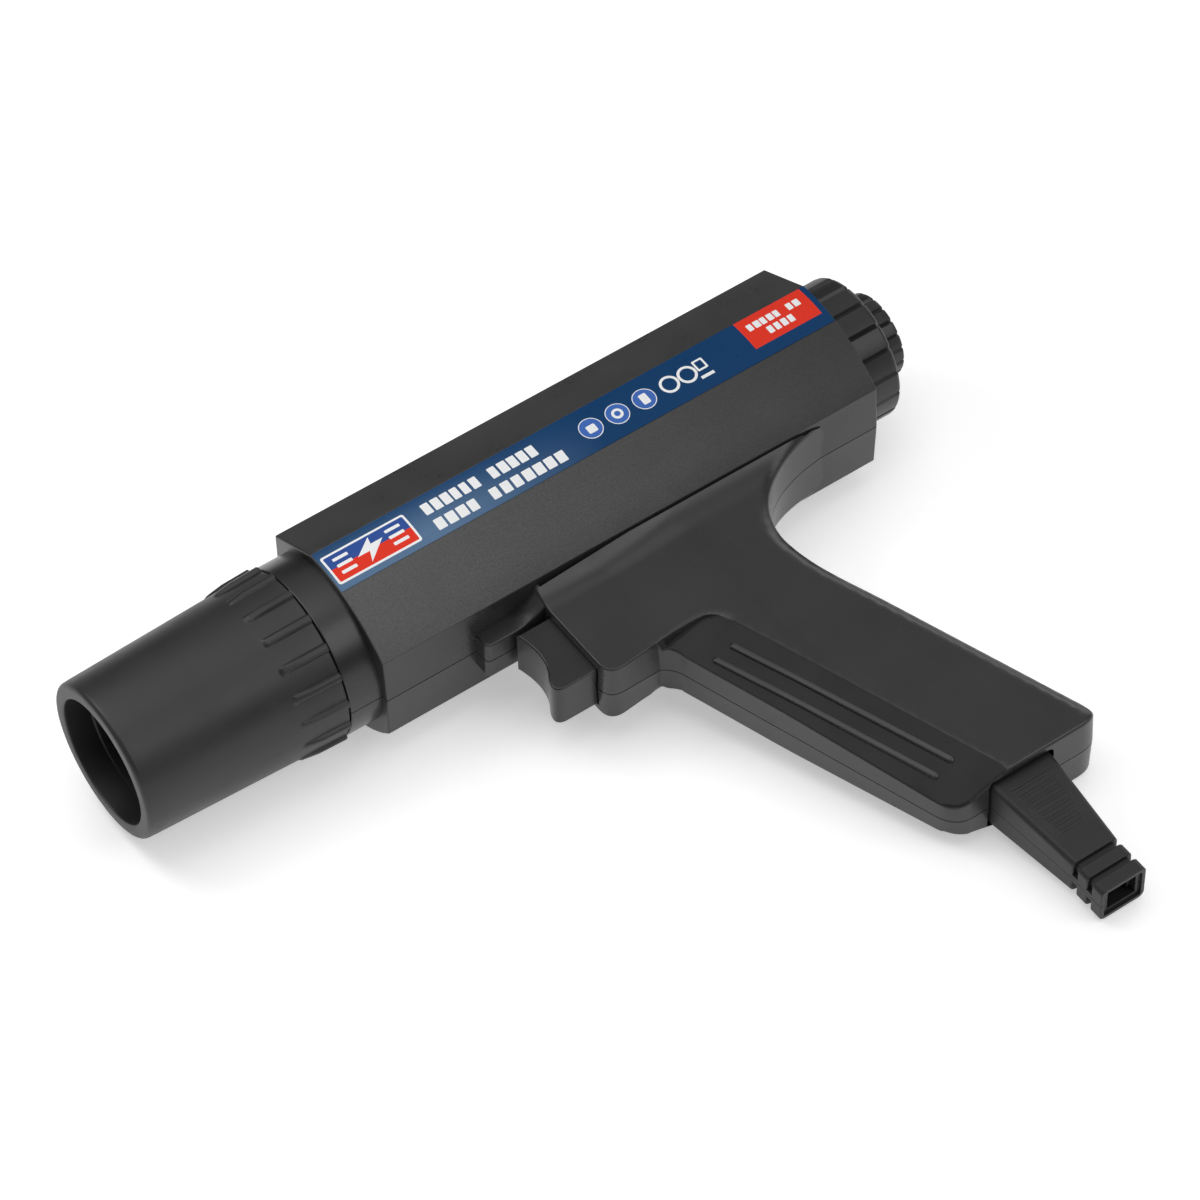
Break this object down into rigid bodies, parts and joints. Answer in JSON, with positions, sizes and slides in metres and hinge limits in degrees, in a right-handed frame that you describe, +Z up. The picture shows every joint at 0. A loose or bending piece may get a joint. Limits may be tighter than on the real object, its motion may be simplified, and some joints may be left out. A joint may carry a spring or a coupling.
{
  "type": "timing light",
  "caption": "Pistol-grip xenon strobe for setting engine ignition timing, with tapered lens hood, rear advance knob, trigger and a detachable cord plug, lying on its side.",
  "frame": {"origin": "centre of the bottom of the bounding box, on the surface that the gun lies on", "axes": "+X along the barrel from the lens to the knob, -Y down the handle, +Z up out of the gun's left side"},
  "size_m": [0.2548, 0.216, 0.055],
  "materials": {
    "case_plastic": "satin charcoal moulded plastic, fine spark grain on the barrel sides",
    "hood_plastic": "smooth satin charcoal plastic",
    "knob_plastic": "semi-gloss charcoal plastic",
    "trigger_plastic": "gloss near-black plastic",
    "label": "printed navy foil",
    "lens_glass": "clear",
    "tube_glass": "clear xenon tube",
    "inner_black": "moulded black plastic",
    "mirror_bowl": "vacuum-metallised",
    "steel": "zinc-plated",
    "heat_sink_metal": "extruded",
    "brass": "brass",
    "board": "green lacquered laminate",
    "capacitor_sleeve": "shrink sleeve",
    "winding": "enamelled wire under tape",
    "plug_plastic": "fine-grained black plastic",
    "lead_black": "PVC sheath",
    "lead_red": "PVC insulation"
  },
  "bodies": {
    "case": {"left_shell": "case_plastic", "right_shell": "case_plastic", "label_plate": "label", "case_screw_1": "steel", "case_screw_2": "steel", "case_screw_3": "steel", "case_screw_4": "steel", "case_screw_5": "steel", "reflector": "mirror_bowl", "lamp_holder": "inner_black", "flash_tube": "tube_glass", "main_board": "board", "flash_capacitor": "capacitor_sleeve", "ignition_coil": "inner_black", "step_up_transformer": "winding", "switching_transistor": "inner_black", "heat_sink": "heat_sink_metal", "potentiometer": "steel", "pot_nut": "brass", "microswitch": "inner_black", "trigger_spring": "steel", "handle_socket": "inner_black", "socket_pin_1": "brass", "socket_pin_2": "brass", "socket_pin_3": "brass", "supply_lead": "lead_black", "lamp_lead": "lead_red", "pot_lead": "lead_red"},
    "hood": {"lens_hood": "hood_plastic", "lens": "lens_glass", "lens_retaining_ring": "inner_black"},
    "knob": {"advance_knob": "knob_plastic", "pot_shaft": "steel", "knob_cap": "trigger_plastic", "knob_grub_screw": "steel"},
    "trigger": {"trigger": "trigger_plastic"},
    "lever": {"switch_lever": "steel"},
    "plug": {"plug_upper_half": "plug_plastic", "plug_lower_half": "plug_plastic", "contact_carrier": "inner_black", "plug_screw": "steel"}
  },
  "joints": [
    {"name": "hood_turn", "type": "hinge", "parent": "case", "child": "hood", "pos_m": [-0.07585, 0.08182, 0.02707], "axis": [1, 0, 0], "range_deg": [0, 90]},
    {"name": "advance_turn", "type": "hinge", "parent": "case", "child": "knob", "pos_m": [0.11415, 0.08182, 0.02707], "axis": [1, 0, 0], "range_deg": [0, 270]},
    {"name": "trigger_pull", "type": "slide", "parent": "case", "child": "trigger", "axis": [1, 0, 0], "range_m": [0, 0.0045], "stiffness_N_per_m": 400, "springref_m": -0.004, "deforming": ["trigger_spring"]},
    {"name": "lever_turn", "type": "hinge", "parent": "case", "child": "lever", "pos_m": [0.00915, 0.03757, 0.02234], "axis": [0, 0.1063, -0.9943], "range_deg": [0, 24.1]},
    {"name": "plug_pull", "type": "slide", "parent": "case", "child": "plug", "axis": [0, -0.9943, -0.1063], "range_m": [0, 0.014]}
  ],
  "couplings": [
    {"joint": "lever_turn", "follows": "trigger_pull", "rad_per_m": 93}
  ]
}
